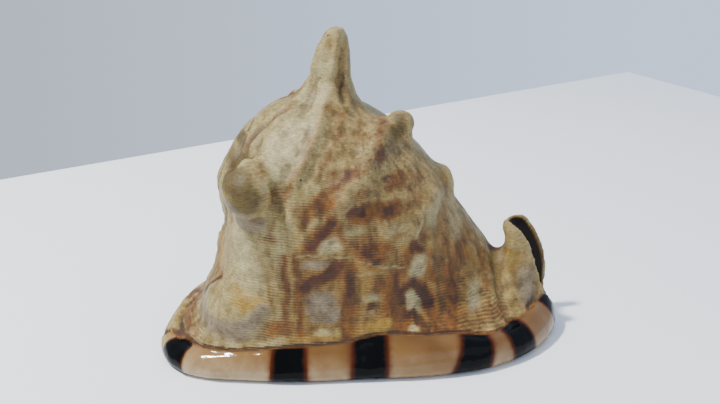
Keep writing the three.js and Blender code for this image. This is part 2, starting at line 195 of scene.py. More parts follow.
# The rolled lip, the shield and the skirt
# The grown animal thickens its last lip into a roll and spreads a broad plate of glaze, the shield,
# over the base. Both lie on the table; the outer wall rises from them to the whorl.
STATIONS = [
    ((-89.4, -39), 10.5, (-61, -24, 50), 0.8),
    ((-82.8, -53), 10, (-58, -34, 54), 0.7),
    ((-70.5, -62), 10, (-51, -44, 60), 0.5),
    ((-50, -65.2), 11, (-40, -50.5, 62), 0.34),
    ((-26, -66.25), 12, (-22, -55, 58), 0.28),
    ((1, -64.2), 13.4, (1, -51, 49), 0.3),
    ((27, -62), 14, (25, -40, 40), 0.26),
    ((54, -55.2), 13.6, (47, -27, 33), 0.24),
    ((74, -41.5), 13.2, (61, -19, 31), 0.2),
    ((85, -27), 14, (70, -12, 32), 0.25),
    ((89.6, -13), 17, (74, -7, 34), 0.4),
    ((89.6, 0), 16, (72, -3, 30), 0.5),
    ((84, 16), 9, (62, 4, 28), 0.7),
    ((68, 35.5), 7, (46, 18, 30), 0.8),
    ((40, 53), 6, (24, 30, 34), 0.85),
    ((8, 64), 6, (0, 40, 40), 0.85),
    ((-24, 66.25), 6, (-22, 42, 46), 0.85),
    ((-52, 56.5), 7, (-40, 38, 50), 0.85),
    ((-71, 38), 8.5, (-57, 26, 48), 0.85),
    ((-83.5, 15), 10, (-65, 9, 46), 0.85),
    ((-89, -9), 11, (-66, -8, 46), 0.85),
    ((-90, -25), 11, (-65, -16, 48), 0.85),
]
BASE_MIDDLE = np.array([-8.0, -2, 0])
RIM_POINTS = 300
SHIELD_HOLLOW = 5
RIM_ROLL = [
    (32, 0, 4), (22, 0, 2), (13, 0, 0), (8, 0, 0), (3, 0, 0), (1.6, 0.02, 0), (0.7, 0.08, 0), (0.1, 0.18, 0),
    (0, 0.3, 0), (0.3, 0.44, 0), (0.9, 0.58, 0), (1.8, 0.72, 0), (2.8, 0.83, 0), (4, 0.91, 0), (5.2, 0.97, 0),
    (7, 1, 0),
]


def closed_curve(points, count):
    """Points along a closed centripetal Catmull-Rom curve, the same number on each stretch."""
    points = np.asarray(points, float)
    total = len(points)
    places = np.arange(count) / count * total
    result = []
    for place in places:
        i, t = int(place), place % 1
        p = [points[(i + k) % total] for k in (-1, 0, 1, 2)]
        d = [max(np.linalg.norm(p[k + 1] - p[k]) ** 0.5, 1e-4) for k in range(3)]
        m1 = (p[1] - p[0]) / d[0] - (p[2] - p[0]) / (d[0] + d[1]) + (p[2] - p[1]) / d[1]
        m2 = (p[2] - p[1]) / d[1] - (p[3] - p[1]) / (d[1] + d[2]) + (p[3] - p[2]) / d[2]
        m1, m2 = m1 * d[1], m2 * d[1]
        c2 = -3 * p[1] + 3 * p[2] - 2 * m1 - m2
        c3 = 2 * p[1] - 2 * p[2] + m1 + m2
        result.append(p[1] + t * (m1 + t * (c2 + t * c3)))
    return np.array(result)


rim = closed_curve([(x, y, 0) for (x, y), _, _, _ in STATIONS], RIM_POINTS)
waist = closed_curve([point for _, _, point, _ in STATIONS], RIM_POINTS)
band, hollow, _ = closed_curve([(height, bend, 0) for _, height, _, bend in STATIONS], RIM_POINTS).T
inward = BASE_MIDDLE - rim
inward /= np.linalg.norm(inward, axis=1)[:, None]


def rim_ring(distance, share, lift):
    ring = rim + inward * distance
    ring[:, 2] = band * share + lift
    return ring


foot = rim_ring(*RIM_ROLL[-1])
skirt_rings = []
for along in np.linspace(0, 1, 25)[1:]:
    sweep = along * np.pi / 2
    inwards = lerp(along, np.sin(sweep), hollow)
    upwards = lerp(along, 1 - np.cos(sweep), hollow)
    ring = foot + (waist - foot) * inwards[:, None]
    ring[:, 2] = lerp(foot[:, 2], waist[:, 2], upwards)
    skirt_rings.append(ring)
roll_rings = [rim_ring(*roll) for roll in RIM_ROLL]
skirt = solid("skirt", *loft(BASE_MIDDLE + (0, 0, SHIELD_HOLLOW), roll_rings + skirt_rings, BASE_MIDDLE + (0, 0, 48)))

# The horn and the knobs
# Where the mantle's edge bulged, the shell grew out in peaks. The last one is the tall horn, and
# three rows of knobs run back round the whorl. Each is a hollow-sided cone with a rounded tip.
SHELL_HEIGHT = 137
HORN_FOOT = np.array([-17.5, -6.5, 92])
HORN_TIP = np.array([-11.4, -6.75, SHELL_HEIGHT + 1.4])
HORN_PROFILE = [
    (0.0, 30), (0.12, 24.5), (0.22, 18.8), (0.31, 14.6), (0.42, 11.2), (0.54, 9.1), (0.66, 8.2), (0.78, 7.1),
    (0.88, 5.8), (0.95, 4.2), (0.985, 2.3),
]
# Each knob: its level on the whorl and turn round it, length, radius at tip and foot, and lean.
KNOBS = [
    (-2, 81, 12.2, 8.8, 13.5, 0.08),
    (-3, -48, 9, 4.6, 15, 0.35),
    (-3, -88, 8, 4.4, 14, 0.3),
    (-4, -124, 6, 4, 12, 0.2),
    (-43, 10, 8.4, 4, 11, 0),
    (-41, -36, 5, 4, 10, 0.1),
    (-41, -74, 4.5, 3.8, 10, 0),
    (-41, -110, 3.5, 3.6, 9, 0),
    (-71, 5, 4.2, 4, 9, 0),
    (-69, -40, 3, 3.6, 8.5, 0),
    (-69, -80, 2.5, 3.4, 8, 0),
]
KNOB_DEPTH = 6
PEAK_RINGS = 26


def peak(name, foot, tip, profile, sides):
    axis = tip - foot
    length = np.linalg.norm(axis)
    along = axis / length
    aside = np.cross([0, 1.0, 0], along)
    aside /= np.linalg.norm(aside)
    across = np.cross(along, aside)
    angles = np.linspace(0, 2 * np.pi, sides, endpoint=False)
    circle = np.cos(angles)[:, None] * aside + np.sin(angles)[:, None] * across
    heights = np.linspace(profile[0][0], profile[-1][0], PEAK_RINGS)
    rings = [foot + along * length * share + circle * through(profile, share) for share in heights]
    return solid(name, *loft(foot, rings, tip))


peaks = [peak("horn", HORN_FOOT, HORN_TIP, HORN_PROFILE, 64)]
for number, (h, turn, length, tip, base, lean) in enumerate(KNOBS):
    level, wall = wall_at(h, turn)
    outward = on_body(h, 1.0, turn) - on_body(h, 0.0, turn) + TO_SPIRE * lean
    outward /= np.linalg.norm(outward)
    root = on_body(level, wall - KNOB_DEPTH, turn)
    height = KNOB_DEPTH + length
    neck = lerp(base, tip, 0.62)
    rise = KNOB_DEPTH / height
    profile = [
        (0, base * 0.8), (rise * 0.75, base * 0.86), (rise, neck * 1.1), (lerp(rise, 1, 0.34), lerp(neck, tip, 0.6)),
        (lerp(rise, 1, 0.66), tip), (lerp(rise, 1, 0.9), tip * 0.66), (lerp(rise, 1, 0.97), tip * 0.36),
    ]
    peaks.append(peak(f"knob_{number}", root, root + outward * height, profile, 32))

# The siphonal canal
# A trough at the front of the shell, bent up and back, through which the living animal breathed.
# Each station gives its near edge, its far edge, the bottom of the trough and how far the two
# walls swell out below their thin edges.
TROUGH = [
    ((80, -13, 2), (84, 4, 6), (62, -5, 12), 9, 9),
    ((83.2, -13, 10), (87, 3.4, 13), (65, -5, 17), 9, 9),
    ((82.8, -13, 17.8), (87.6, 3, 20), (66, -5, 23), 9, 9),
    ((81.2, -13, 25.4), (87, 3, 26), (66.6, -5, 28), 8.6, 8.6),
    ((79.3, -13, 31.9), (85.8, 3, 31.6), (67.2, -5, 33), 7.4, 7.6),
    ((76.7, -13, 37.8), (82.9, 3, 38.8), (67.8, -5, 37.6), 5.8, 6.2),
    ((73.6, -12.8, 43.7), (79.2, 3, 45.2), (67.8, -5, 42), 4.4, 4.8),
    ((70.1, -12.4, 48.5), (75.2, 2.8, 49.6), (67.2, -5, 45.6), 3.2, 3.6),
    ((66.4, -11.8, 51.4), (71.2, 2.2, 50.8), (66, -5, 48.2), 2.2, 2.6),
    ((62.8, -10.6, 52.8), (67.2, 1.2, 50.4), (64.2, -5, 50.2), 1.4, 1.6),
]
TROUGH_STEPS = 61
TROUGH_SIDES = 25
WALL_EDGE = 2
FLOOR_THICK = 2.6
FIRST_SKIN, SECOND_SKIN, LAST_SKIN = 1.6, 1.4, 1.2
SOFTENING = 0.5
NORMALS_EVERY = 4
trough_places = np.linspace(0, len(TROUGH) - 1, TROUGH_STEPS)


def column(stations, places, pick):
    """One number of the stations as a smooth curve, read at places between them."""
    return through(list(enumerate(pick(s) for s in stations)), places)


def path(stations, places, part):
    """One point of the stations as a smooth line of points, read at places between them."""
    return np.stack([column(stations, places, lambda s, k=k: s[part][k]) for k in range(3)], axis=1)


near_edge, far_edge, trough_floor = (path(TROUGH, trough_places, part) for part in range(3))
near_swell, far_swell = (column(TROUGH, trough_places, lambda s, part=part: s[part]) for part in (3, 4))


def trough_ring(i, outside, reach=0.0):
    """Half an oval from the far edge round the trough's floor to the near edge."""
    middle = (near_edge[i] + far_edge[i]) / 2
    across = (near_edge[i] - far_edge[i]) / 2
    opening = middle - trough_floor[i]
    width = np.linalg.norm(across)
    depth = np.linalg.norm(opening)
    across, opening = across / width, opening / depth
    points = []
    for angle in np.linspace(-np.pi / 2, np.pi / 2, TROUGH_SIDES):
        swell = near_swell[i] if angle > 0 else far_swell[i]
        half = width + (WALL_EDGE / 2 + swell * np.cos(angle) if outside else -WALL_EDGE / 2)
        low = depth + (FLOOR_THICK if outside else 0)
        points.append(middle + across * half * np.sin(angle) - opening * (low * np.cos(angle)))
    if reach:
        points = [points[0] + opening * reach, *points, points[-1] + opening * reach]
    return points


outer_rings = [trough_ring(i, True) for i in range(TROUGH_STEPS)]
spout = solid("spout", *loft(np.mean(outer_rings[0], axis=0), outer_rings, np.mean(outer_rings[-1], axis=0)))


def with_modifier(obj, kind, **settings):
    """Puts one modifier on the object and makes its result the object's own mesh."""
    modifier = obj.modifiers.new(kind.lower(), kind)
    for key, value in settings.items():
        setattr(modifier, key, value)
    result = bpy.data.meshes.new_from_object(obj.evaluated_get(bpy.context.evaluated_depsgraph_get()))
    obj.modifiers.clear()
    old = obj.data
    obj.data = result
    bpy.data.meshes.remove(old)


def joined(target, other, operation="UNION"):
    with_modifier(target, "BOOLEAN", object=other, operation=operation, solver="MANIFOLD")
    bpy.data.objects.remove(other)


def one_skin(obj, detail):
    """Remakes all that touches as one skin of small even squares, the detail in millimetres."""
    with_modifier(obj, "REMESH", mode="VOXEL", voxel_size=detail * MM)


shell = whorl
shell.name = shell.data.name = "king_helmet_shell"
joined(shell, skirt)
joined(shell, spout)


def read_points(mesh):
    points = np.empty(len(mesh.vertices) * 3)
    mesh.vertices.foreach_get("co", points)
    return points.reshape(-1, 3) / MM


def write_points(mesh, points):
    mesh.vertices.foreach_set("co", (points * MM).ravel())
    mesh.update()


def normals_of(mesh):
    normals = np.empty(len(mesh.vertices) * 3)
    mesh.vertex_normals.foreach_get("vector", normals)
    return normals.reshape(-1, 3)


def neighbour_mean(mesh):
    """A function that gives each point the mean of a value over the points at its edges' ends."""
    ends = np.empty(len(mesh.edges) * 2, int)
    mesh.edges.foreach_get("vertices", ends)
    a, b = ends.reshape(-1, 2).T
    size = len(mesh.vertices)
    degree = np.bincount(a, minlength=size) + np.bincount(b, minlength=size)
    return lambda values: (np.bincount(a, values[b], size) + np.bincount(b, values[a], size)) / degree


def soften(mesh, rounds, hollows_only=False):
    """Draws each point towards its neighbours, or only outwards into the hollows between two forms."""
    mean = neighbour_mean(mesh)
    points = read_points(mesh)
    for done in range(rounds):
        step = np.stack([mean(points[:, k]) for k in range(3)], axis=1) - points
        if hollows_only:
            if done % NORMALS_EVERY == 0:
                write_points(mesh, points)
                normals = normals_of(mesh)
            step *= (np.einsum("ij,ij->i", step, normals) > 0)[:, None]
        points += step * SOFTENING
    write_points(mesh, points)


one_skin(shell, FIRST_SKIN)
soften(shell.data, 36, hollows_only=True)
for part in peaks:
    joined(shell, part)
one_skin(shell, SECOND_SKIN)
soften(shell.data, 12, hollows_only=True)
soften(shell.data, 3)

# The aperture
# A narrow slot under the shell, left open as the shell grew. It leads into the hollow of the last
# whorl and runs out through the canal, and is cut from the grown shell here.
WALL = 6
SLOT = [
    ((-61, -26, -4), (-57, -26, 10), 2, 2),
    ((-50, -31, -4), (-49, -31, 24), 4, 4),
    ((-36, -35, -4), (-36, -34, 30), 5.6, 6),
    ((-12, -37.5, -4), (-12, -36, 32), 6.4, 7),
    ((12, -36.5, -4), (12, -34, 31), 6.4, 7),
    ((34, -32, -4), (33, -27, 28), 6, 6.6),
    ((54, -24, -4), (50, -18, 24), 5.8, 6.2),
    ((76, -13, -6), (61, -10, 21), 5.8, 5.8),
    ((92, -6, -6), (66, -5, 20), 6, 6),
]
CHANNEL_FROM, CHANNEL_REACH, CHANNEL_RUNS_ON = 4, 26, 12
slot_places = np.linspace(0, len(SLOT) - 1, 73)
slot_outer, slot_inner = (path(SLOT, slot_places, part) for part in (0, 1))
lip_half, shield_half = (column(SLOT, slot_places, lambda s, part=part: s[part]) for part in (2, 3))
run = np.gradient(slot_outer, axis=0)
lipward = np.stack([run[:, 1], -run[:, 0], np.zeros(len(run))], axis=1)
lipward /= np.linalg.norm(lipward, axis=1)[:, None]
slot_rings = []
for outer, inner, side, lip, shield in zip(slot_outer, slot_inner, lipward, lip_half, shield_half):
    deep = outer - inner
    slot_rings.append([
        outer + side * lip, inner + deep * 0.2 + side * lip, inner + deep * 0.08 + side * lip * 0.86,
        inner + deep * 0.02 + side * lip * 0.55, inner, inner + deep * 0.02 - side * shield * 0.55,
        inner + deep * 0.08 - side * shield * 0.86, inner + deep * 0.2 - side * shield, outer - side * shield,
    ])
slot = solid("slot", *loft(np.mean(slot_rings[0], axis=0), slot_rings, np.mean(slot_rings[-1], axis=0)))
channel_rings = [np.array(trough_ring(i, False, CHANNEL_REACH)) for i in range(CHANNEL_FROM, TROUGH_STEPS)]
channel_rings.append(channel_rings[-1] + (channel_rings[-1] - channel_rings[-2]) * CHANNEL_RUNS_ON)
channel = solid("channel", *loft(np.mean(channel_rings[0], axis=0), channel_rings, np.mean(channel_rings[-1], axis=0)))

# The hollow of the last whorl follows it back from the lip, by degrees of turn, and narrows.
HOLLOW_FROM, HOLLOW_BACK = 141, 320
HOLLOW_STEPS, HOLLOW_SIDES = 33, 28
HOLLOW_TOP, HOLLOW_BOTTOM, HOLLOW_DEPTH = -9, -92, 15
hollow_rings = []
for t in np.linspace(0, 1, HOLLOW_STEPS):
    turn = HOLLOW_FROM - HOLLOW_BACK * t
    fade = 1 - 0.55 * smoothstep(t, 0.4, 1)
    angles = np.linspace(0, 2 * np.pi, HOLLOW_SIDES, endpoint=False)
    across = np.cos(angles)
    h = lerp(HOLLOW_BOTTOM, HOLLOW_TOP, 0.5 + 0.5 * across * fade)
    outside = through(BODY_PROFILE, h) * widening(np.clip(turn, -120, 120)) - WALL - 16.5 * smoothstep(t, 0.5, 1)
    depth = HOLLOW_DEPTH * fade * (0.35 + 0.65 * np.sqrt(np.maximum(0, 1 - across ** 2)))
    r = outside - depth / 2 + depth / 2 * np.sin(angles)
    hollow_rings.append(on_body(h, np.maximum(r, 3), np.full(len(h), turn)))
inside = solid("inside", *loft(np.mean(hollow_rings[0], axis=0), hollow_rings, np.mean(hollow_rings[-1], axis=0)))

skin_corners = [v.co.copy() for v in shell.data.vertices]
outer_skin = BVHTree.FromPolygons(skin_corners, [tuple(face.vertices) for face in shell.data.polygons])
joined(slot, inside)
joined(slot, channel)
joined(shell, slot, "DIFFERENCE")

# Teeth and folds of the aperture
# Blunt white teeth grew on the lip's side of the slot and thinner folds on the shield's. Geometry
# Nodes sets one small rounded bead for each along a line just inside the slot's mouth.
TEETH = 10
FOLDS = 16
TEETH_FROM, TEETH_TO = 1.2, 6.6
MOUTH_LEVEL = 5.4
SLOT_STARTS, SLOT_RISE = -4, 34


def add_node(tree, name, kind, inputs=(), output=0, **settings):
    """Adds one node; each input, in order or by key, takes a value or another node's output."""
    node = tree.nodes.new(kind)
    node.name = node.label = name
    for key, value in settings.items():
        setattr(node, key, value)
    for key, value in inputs.items() if isinstance(inputs, dict) else enumerate(inputs):
        if isinstance(value, bpy.types.NodeSocket):
            tree.links.new(value, node.inputs[key])
        else:
            node.inputs[key].default_value = value
    return node.outputs[output] if len(node.outputs) else node


def bead_tree():
    tree = bpy.data.node_groups.new("tooth_row", "GeometryNodeTree")
    sockets = {"Line": "Geometry", "Count": "Int", "Size": "Vector", "Seed": "Int", "Material": "Material"}
    for name, kind in sockets.items():
        tree.interface.new_socket(name, in_out="INPUT", socket_type="NodeSocket" + kind)
    tree.interface.new_socket("Beads", in_out="OUTPUT", socket_type="NodeSocketGeometry")
    add_node(tree, "given", "NodeGroupInput")
    given = tree.nodes["given"].outputs
    curve = add_node(tree, "line", "GeometryNodeMeshToCurve", {"Mesh": given["Line"]})
    spots = add_node(
        tree, "places", "GeometryNodeCurveToPoints", {"Curve": curve, "Count": given["Count"]}, mode="COUNT",
    )
    bead = add_node(tree, "bead", "GeometryNodeMeshUVSphere", {"Segments": 16, "Rings": 10, "Radius": 1.0})
    vary = add_node(
        tree, "vary", "FunctionNodeRandomValue",
        {"Min": (0.82, 0.82, 0.82), "Max": (1.12, 1.12, 1.12), "Seed": given["Seed"]}, data_type="FLOAT_VECTOR",
    )
    scale = add_node(tree, "scale", "ShaderNodeVectorMath", [given["Size"], vary], operation="MULTIPLY")
    facing = tree.nodes["places"].outputs["Rotation"]
    places = {"Points": spots, "Instance": bead, "Rotation": facing, "Scale": scale}
    placed = add_node(tree, "place", "GeometryNodeInstanceOnPoints", places)
    real = add_node(tree, "real", "GeometryNodeRealizeInstances", {"Geometry": placed})
    coated = add_node(tree, "coat", "GeometryNodeSetMaterial", {"Geometry": real, "Material": given["Material"]})
    add_node(tree, "result", "NodeGroupOutput", {0: coated})
    return tree


shell_material = bpy.data.materials.new("worn_shell")


def tooth_row(name, side, half, count, size, seed):
    inset = (slot_places >= TEETH_FROM) & (slot_places <= TEETH_TO)
    mouth = slot_outer[inset] + (slot_inner - slot_outer)[inset] * ((MOUTH_LEVEL - SLOT_STARTS) / SLOT_RISE)
    line = mouth + side * lipward[inset] * half[inset][:, None]
    mesh = bpy.data.meshes.new(name)
    mesh.from_pydata((line * MM).tolist(), [(i, i + 1) for i in range(len(line) - 1)], [])
    obj = bpy.data.objects.new(name, mesh)
    bpy.context.collection.objects.link(obj)
    modifier = obj.modifiers.new("teeth", "NODES")
    modifier.node_group = bead_tree()
    given = {"Count": count, "Size": [v * MM for v in size], "Seed": seed, "Material": shell_material}
    for item in modifier.node_group.interface.items_tree:
        if item.in_out == "INPUT" and item.name in given:
            modifier[item.identifier] = given[item.name]
    beads = bpy.data.meshes.new_from_object(obj.evaluated_get(bpy.context.evaluated_depsgraph_get()))
    obj.modifiers.clear()
    obj.data = beads
    return obj


rows = [
    tooth_row("teeth", 1, lip_half, TEETH, (5.4, 2.6, 3.2), 3),
    tooth_row("folds", -1, shield_half, FOLDS, (6.6, 1.2, 2.6), 7),
]
with bpy.context.temp_override(active_object=shell, selected_editable_objects=[shell, *rows]):
    bpy.ops.object.join()
one_skin(shell, LAST_SKIN)
soften(shell.data, 5)

# Folds, ridges and grooves grown into the surface
# The mantle left its own shape in each layer: low ribs round the whorl, tails running down from the
# knobs, a swelling by the lip's left end and a groove where the glaze of the lip stops.
WHORL_SUTURE = [
    (-28, -18, 111), (-31.5, -22, 106.9), (-36.9, -26, 102.8), (-42.6, -25.9, 97.8), (-45.4, -26.1, 95.9),
    (-49, -28.5, 91), (-49.1, -42.2, 91), (-50.9, -44.8, 88), (-52.6, -47.8, 85),
]
HORN_RIB = [
    (-11.4, -9, 137), (-11.3, -14.6, 129.1), (-13.7, -16.7, 118.6), (-15.9, -24.7, 107.6), (-17.1, -31.6, 102.9),
    (-19.7, -39.3, 96.7), (-23.4, -44.9, 90.5), (-27, -50, 83.5),
]
HORN_GROOVE = [(-7.5, -12, 132), (-9.4, -14.9, 124.4), (-9.6, -15.7, 113.6), (-8.6, -18, 107)]
FLANGE_LINE = [
    (-60.8, -37.8, 36.6), (-70.1, -28.2, 25.1), (-80, -15, 12.9), (-82.5, -21, 11.8), (-81.2, -31.9, 12),
    (-77.6, -42.7, 12.1), (-73.5, -49.6, 10.8),
]
HORN_EDGE = [(-17, -9, 128), (-22, -11, 119), (-27, -14, 111), (-32.6, -20.6, 105.6)]
HORN_HOLLOWS = [(-20, -13, 114), (-26, -26, 102), (-31, -35, 95)]
CANAL_VALLEY = [(61, -8, 37.5), (60, -17, 32), (61, -28, 23), (63.5, -36, 15)]
CANAL_CREST = [(66, -13, 44), (71, -18, 34), (75.5, -22, 24)]
CANAL_CREASE = [(62, -41, 11.5), (66, -34, 12.5), (70.5, -28.5, 14), (75.5, -24, 17), (79.5, -20, 20.5)]
CANAL_FOLD = [(67, -37, 10.5), (71.5, -31.5, 12.5), (76, -27, 15), (80, -23, 18)]
# Ridges, and grooves where the height is negative: the line, how far it reaches and how high it is.
RIDGES = [
    (HORN_RIB, 2, 2.1), (HORN_GROOVE, 1.6, -1.6), (HORN_EDGE, 2.6, 1.6), (HORN_HOLLOWS, 5, -1.6),
    (CANAL_CREST, 4, 0.9), (CANAL_VALLEY, 4, -2), (CANAL_CREASE, 1.7, -1.7), (CANAL_FOLD, 2, 0.9),
    (WHORL_SUTURE, 1.4, -1.5), (np.array(WHORL_SUTURE) + (2, -1.5, -1), 2, 1.2), (FLANGE_LINE, 1.5, -1),
    ([(14.5, -14, 98), (5.4, -28.2, 93.2), (-0.7, -42.2, 84.2), (-8, -50, 74)], 6, 3.6),
    ([(34, -6, 75), (29.4, -24, 69), (25.7, -34, 66), (20, -41, 60)], 4.2, 1.5),
    ([(-46, -60, 76), (-45, -60, 66), (-45, -58, 54)], 8, 2.2),
    ([(-13, -18, 108), (-24, -31, 99), (-33, -43, 90), (-42, -51, 82)], 6, 1.3),
    ([(-82.8, -6, 10.5), (-84.5, -22, 11.5), (-84.5, -36, 10.5), (-79, -45, 10.8)], 1.3, 0.8),
    ([(-79, -4, 13), (-80.5, -20, 13.8), (-81, -35, 12.2), (-76, -45, 11.6)], 1.3, 0.8),
    ([(-74.5, -3, 17), (-77, -18, 16.5), (-77.5, -33, 14.4), (-72.5, -46, 12.6)], 1.3, 0.8),
]
RIB_SPACING, STEP_SPACING = 9.3, 6.5
SPIRE_GROOVE = 1.3
BOX_MARGIN = 0.02
SKIN_DEPTH = 1.3
# How high the glaze of the lip reaches, by the stations round the rim.
BAND_TOP = [
    (0, 9.4), (0.8, 10.4), (1.4, 10.6), (1.9, 10.9), (2.6, 11.5), (3.2, 12.4), (3.5, 13.2), (4.1, 14.2), (4.7, 15.2),
    (5.0, 16.8), (5.35, 17.4), (5.9, 16.2), (6.55, 15.2), (7.05, 13.6), (7.5, 13.8), (8, 14.2), (9, 15.7),
    (9.7, 16.6), (10.4, 17.5), (11, 16.5), (12, 9.5), (13, 7.4), (17, 6.4), (18, 6), (20, 5), (21.4, 5), (22, 9.4),
]


def nearness(points, line, reach):
    """1 on a line of points and falling off softly with the distance from it."""
    line = np.asarray(line, float)
    best = np.full(len(points), 1e9)
    for a, b in zip(line[:-1], line[1:]):
        t = np.clip((points - a) @ (b - a) / ((b - a) @ (b - a)), 0, 1)
        best = np.minimum(best, ((points - a - t[:, None] * (b - a)) ** 2).sum(axis=1))
    return np.exp(-best / reach ** 2)


def grain(points, size, seed):
    """Smooth random values about 0, with lumps of the given size in millimetres."""
    shift = Vector((seed * 17.3, seed * 5.1, seed * 9.7))
    return np.array([noise.noise(Vector(p) + shift) for p in (points / size).tolist()])


def body_place(points):
    from_shoulder = points - SHOULDER_CENTRE
    up, over = from_shoulder @ TO_TOP, from_shoulder @ TO_LIP
    return from_shoulder @ TO_SPIRE, np.hypot(up, over), np.degrees(np.arctan2(over, up))


def rim_place(points):
    """How far round the rim each point lies, in stations, and how far in from its edge."""
    nearest_all = np.empty(len(points))
    inset = np.empty(len(points))
    for start in range(0, len(points), 4000):
        part = slice(start, start + 4000)
        apart = ((points[part, None, :2] - rim[None, :, :2]) ** 2).sum(axis=2)
        nearest = apart.argmin(axis=1)
        nearest_all[part] = nearest
        inset[part] = ((points[part, :2] - rim[nearest, :2]) * inward[nearest, :2]).sum(axis=1)
    low = nearest_all.astype(int)
    step = rim[(low + 1) % RIM_POINTS, :2] - rim[low - 1, :2]
    past = ((points[:, :2] - rim[low, :2]) * step).sum(axis=1) / (step ** 2).sum(axis=1) * 2
    return (low + np.clip(past, -1, 1)) / RIM_POINTS * len(STATIONS), inset


points = read_points(shell.data)
normals = normals_of(shell.data)
h, r, turn = body_place(points)
place, inset = rim_place(points)
above_band = points[:, 2] - through(BAND_TOP, place)
x, y, z = points.T
deep = np.array([outer_skin.find_nearest(Vector(p))[3] for p in (points * MM).tolist()]) / MM
outside = deep < SKIN_DEPTH
near_wall = smoothstep(above_band, 0, 4) * smoothstep(turn, -20, 20)
lumps = grain(points, 9, 1)
small_lumps = grain(points, 3.2, 2)

out = 0.20 * np.cos(2 * np.pi * (x + 2.5 * lumps) / RIB_SPACING) * near_wall
out += 0.38 * lumps + 0.1 * small_lumps
out += 0.16 * np.sin(2 * np.pi * (z + 3 * lumps + 0.1 * x) / STEP_SPACING) * near_wall
for line, reach, height in RIDGES:
    out += height * nearness(points, line, reach)
swelling = np.exp(-(((x + 55) / 17) ** 2 + ((z - 27.5 - 0.12 * (x + 55)) / 8.5) ** 2) ** 1.6) * (y < -20)
out += 3.2 * swelling
lip_groove = np.exp(-((above_band - 0.3) / 0.9) ** 2) * (inset < 16) * (normals[:, 2] > -0.5)
out -= 0.75 * lip_groove * smoothstep(-y, -30, 10)
spire_share = r / SHOULDER_RADIUS
seam = np.exp(-((from_seam(spire_share, turn) / 0.045) ** 2)) * smoothstep(h, -4, 2)
seam *= smoothstep(spire_share, 0.05, 0.15) * (1 - smoothstep(spire_share, 0.72, 0.84))
out -= SPIRE_GROOVE * seam
out = np.where(outside & (z > 1.5), out, 0)
points += normals * out[:, None]

low, high = np.array(cad_box) / MM
points = np.clip(points, low + BOX_MARGIN, high - BOX_MARGIN)
write_points(shell.data, points)
shell.data.shade_smooth()

# Colours of the shell
# Worn chalky shell, cream where the sun and sand bleached it and chestnut where the pigment lasts,
# in arrows and bands laid down row by row. Each mask is a number on every point of the mesh.
normals = normals_of(shell.data)
x, y, z = points.T
h, r, turn = body_place(points)
above_band = z - through(BAND_TOP, place)
front = smoothstep(-y, 2, 16)
wobble_a, wobble_b = grain(points, 7, 4), grain(points, 2.6, 5)
wx, wz = x + 1.5 * wobble_a + 0.6 * wobble_b, z + 1.5 * grain(points, 6, 6) + 0.6 * grain(points, 2.4, 7)
THREAD_SPACING = 1.1
